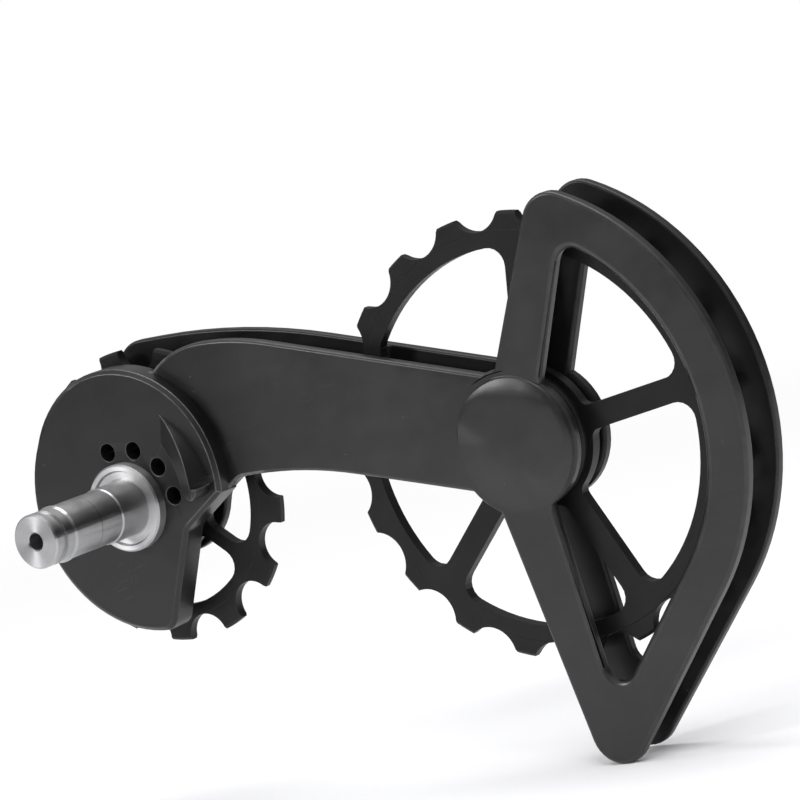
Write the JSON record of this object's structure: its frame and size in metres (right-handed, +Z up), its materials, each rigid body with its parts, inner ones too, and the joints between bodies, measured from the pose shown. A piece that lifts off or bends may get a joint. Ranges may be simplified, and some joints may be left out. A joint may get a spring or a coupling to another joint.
{
  "type": "derailleur pulley cage",
  "caption": "Oversized rear derailleur cage: two moulded plates with a fan-shaped end carry a small and a large toothed pulley wheel on bearings, with a flanged steel pivot axle.",
  "frame": {"origin": "on the pivot axle's axis, at the rim face of its flange bush", "axes": "+X from the pivot axle towards the large wheel's axis, -Y along the pivot axle to its free end, +Z up in the picture's pose"},
  "size_m": [0.1504, 0.0428, 0.0946],
  "materials": {
    "cage_plastic": "satin black fibre-filled plastic, as moulded",
    "anodised_wheel": "black anodised aluminium, satin",
    "anodised_cap": "black anodised aluminium, turned",
    "turned_steel": "bright turned steel",
    "bearing_steel": "ground and polished bearing steel",
    "seal_rubber": "black rubber seal",
    "brass": "plain brass",
    "black_steel": "black oxide steel"
  },
  "bodies": {
    "cage": {"front_plate": "cage_plastic", "rear_plate": "cage_plastic", "pivot_axle": "turned_steel", "axle_flange_bush": "turned_steel", "tension_insert": "brass", "guide_inner_race": "bearing_steel", "guide_sleeve": "bearing_steel", "guide_front_cap": "anodised_cap", "guide_rear_cap": "anodised_cap", "guide_bolt": "black_steel", "tension_inner_race": "bearing_steel", "tension_sleeve": "bearing_steel", "tension_front_cap": "anodised_cap", "tension_rear_cap": "anodised_cap", "tension_bolt": "black_steel"},
    "guide_pulley": {"guide_wheel": "anodised_wheel", "guide_outer_race": "bearing_steel", "guide_seals": "seal_rubber"},
    "tension_pulley": {"tension_wheel": "anodised_wheel", "tension_outer_race": "bearing_steel", "tension_seals": "seal_rubber"},
    "guide_ball_set": {"guide_balls": "bearing_steel", "guide_ball_cage": "brass"},
    "tension_ball_set": {"tension_balls": "bearing_steel", "tension_ball_cage": "brass"}
  },
  "joints": [
    {"name": "guide_spin", "type": "hinge", "parent": "cage", "child": "guide_pulley", "pos_m": [0, 0.01085, 0], "axis": [0, 1, 0], "continuous": true},
    {"name": "tension_spin", "type": "hinge", "parent": "cage", "child": "tension_pulley", "pos_m": [0.0805, 0.01085, 0], "axis": [0, 1, 0], "continuous": true},
    {"name": "guide_ball_roll", "type": "hinge", "parent": "cage", "child": "guide_ball_set", "pos_m": [0, 0.01085, 0], "axis": [0, 1, 0], "continuous": true},
    {"name": "tension_ball_roll", "type": "hinge", "parent": "cage", "child": "tension_ball_set", "pos_m": [0.0805, 0.01085, 0], "axis": [0, 1, 0], "continuous": true}
  ],
  "couplings": [
    {"joint": "guide_ball_roll", "follows": "guide_spin", "ratio": 0.6133},
    {"joint": "tension_ball_roll", "follows": "tension_spin", "ratio": 0.6133}
  ]
}
